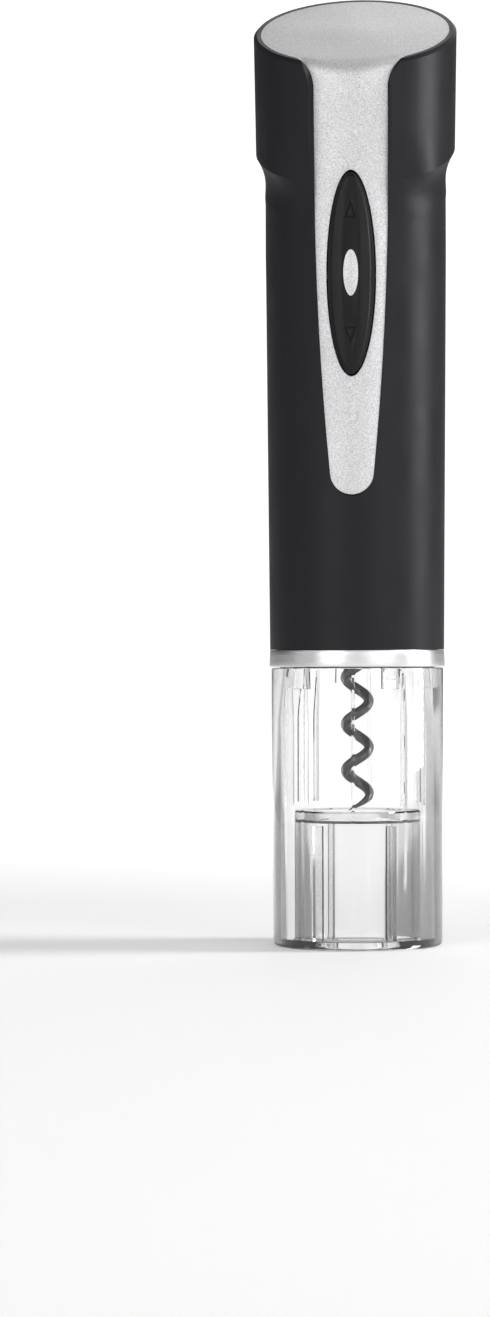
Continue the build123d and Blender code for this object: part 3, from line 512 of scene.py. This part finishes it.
def studio_paper():
    """Pale paper with painted light and painted shade: it glows round the object, straight behind
    it and far in front, and its colour is painted darker on the walls.
    """
    mat, tree, shader = shader_tree("studio_paper")
    coords = tree.nodes.new("ShaderNodeTexCoord")
    split = tree.nodes.new("ShaderNodeSeparateXYZ")
    tree.links.new(coords.outputs["Object"], split.inputs["Vector"])
    shifted = combined(tree, "SUBTRACT", split.outputs["X"], BACKDROP_X)
    off_side = combined(tree, "ABSOLUTE", shifted)
    across = ranged(tree, off_side, 1.0, 0.0, *BACKDROP_EDGE)
    behind = ranged(tree, split.outputs["Y"], 0.0, 1.0, *BACKDROP_Y)
    backdrop = combined(tree, "MULTIPLY", across, behind)
    floor = ranged(tree, split.outputs["Z"], 1.0, 0.0, *PALE_FLOOR_Z)
    front = ranged(tree, split.outputs["Y"], PALE_FRONT, 0.0, *PALE_FRONT_Y)
    pale = combined(tree, "MAXIMUM", combined(tree, "MAXIMUM", backdrop, floor), front)
    away = tree.nodes.new("ShaderNodeVectorMath")
    away.operation = "LENGTH"
    tree.links.new(coords.outputs["Object"], away.inputs[0])
    near = ranged(tree, away.outputs["Value"], FLOOR_GLOW, 0.0, *FLOOR_GLOW_R)
    far_front = ranged(tree, split.outputs["Y"], FRONT_GLOW, 0.0, *FRONT_GLOW_Y)
    # Painted light: the strip behind, the floor round the object and the far front wall glow,
    # though the paper is no lamp.
    glow = combined(tree, "MAXIMUM", backdrop, combined(tree, "MAXIMUM", near, far_front))
    strength = ranged(tree, glow, 0.0, GLOW_STRENGTH, 0.0, 1.0)
    tree.links.new(strength, shader.inputs["Emission Strength"])
    shader.inputs["Emission Color"].default_value = (1, 1, 1, 1)
    # Painted shade: the paper's colour falls to dark grey on the walls, where the strip, floor and
    # front masks are low.
    paper = colours(tree, pale, (0.2, 0.2, 0.2), (0.87, 0.87, 0.87), 0.0, 1.0)
    tree.links.new(paper, shader.inputs["Base Color"])
    shader.inputs["Roughness"].default_value = 0.85
    shader.inputs["Specular IOR Level"].default_value = 0.1
    return mat


def studio():
    """A seamless pale bowl: flat floor, wide curve, upright wall."""
    outline = [(0.6, 0.0), (STUDIO_R - STUDIO_CURVE_R, 0.0)]
    for k in range(1, 17):
        a = pi / 2 * k / 16
        outline.append((STUDIO_R - STUDIO_CURVE_R * (1 - sin(a)), STUDIO_CURVE_R * (1 - cos(a))))
    outline.append((STUDIO_R, STUDIO_HEIGHT))
    bm = bmesh.new()
    centre = bm.verts.new((0, 0, 0))
    rings = [[bm.verts.new(p) for p in ring_points(r, z, STUDIO_SIDES)] for r, z in outline]
    for k in range(STUDIO_SIDES):
        after = (k + 1) % STUDIO_SIDES
        bm.faces.new((centre, rings[0][k], rings[0][after]))
        for low, high in zip(rings, rings[1:]):
            bm.faces.new((low[k], low[after], high[after], high[k]))
    data = bpy.data.meshes.new("studio")
    bm.to_mesh(data)
    bm.free()
    smooth(data, 60)
    obj = loose("studio", data)
    data.materials.append(studio_paper())


def softbox(name, azimuth, distance, height, size, radiance):
    """A soft light turned to the object; azimuth 0 is the front, positive to the right."""
    data = bpy.data.lights.new(name, "AREA")
    data.shape = "RECTANGLE"
    data.size, data.size_y = size
    data.energy = radiance * pi * size[0] * size[1]
    obj = loose(name, data)
    turn = radians(azimuth)
    obj.location = (distance * sin(turn), -distance * cos(turn), height)
    obj.rotation_euler = (LIGHT_AIM - obj.location).to_track_quat("-Z", "Y").to_euler()


def lights():
    world = bpy.data.worlds.new("studio_air")
    world.use_nodes = True
    world.node_tree.nodes["Background"].inputs["Color"].default_value = (1, 1, 1, 1)
    world.node_tree.nodes["Background"].inputs["Strength"].default_value = AMBIENT
    bpy.context.scene.world = world
    softbox("front_left", -30, 1.8, 0.8, (1.0, 1.5), 1.8)
    softbox("front_right", 36, 1.8, 0.8, (1.2, 1.5), 1.3)
    softbox("strip_right", 94, 1.4, 0.8, (0.5, 1.5), 9.5)
    softbox("strip_left", -76, 1.4, 0.8, (0.2, 1.4), 1.0)
    softbox("overhead", 180, 0.95, 1.6, (1.5, 1.2), 0.62)
    softbox("back_fill", 165, 2.2, 1.3, (1.0, 1.0), 1.2)


def camera():
    data = bpy.data.cameras.new("camera")
    data.sensor_fit = "VERTICAL"
    data.sensor_width = 36
    data.sensor_height = 36
    data.lens = LENS
    obj = loose("camera", data)
    obj.location = (CAMERA_DISTANCE * sin(CAMERA_AZIMUTH),
                    -CAMERA_DISTANCE * cos(CAMERA_AZIMUTH), AXIS_HEIGHT)
    obj.rotation_mode = "XYZ"
    obj.rotation_euler = (pi / 2, CAMERA_ROLL, CAMERA_AZIMUTH + CAMERA_PAN)
    bpy.context.scene.camera = obj


studio()
lights()
camera()
bpy.context.scene.view_settings.view_transform = "Standard"
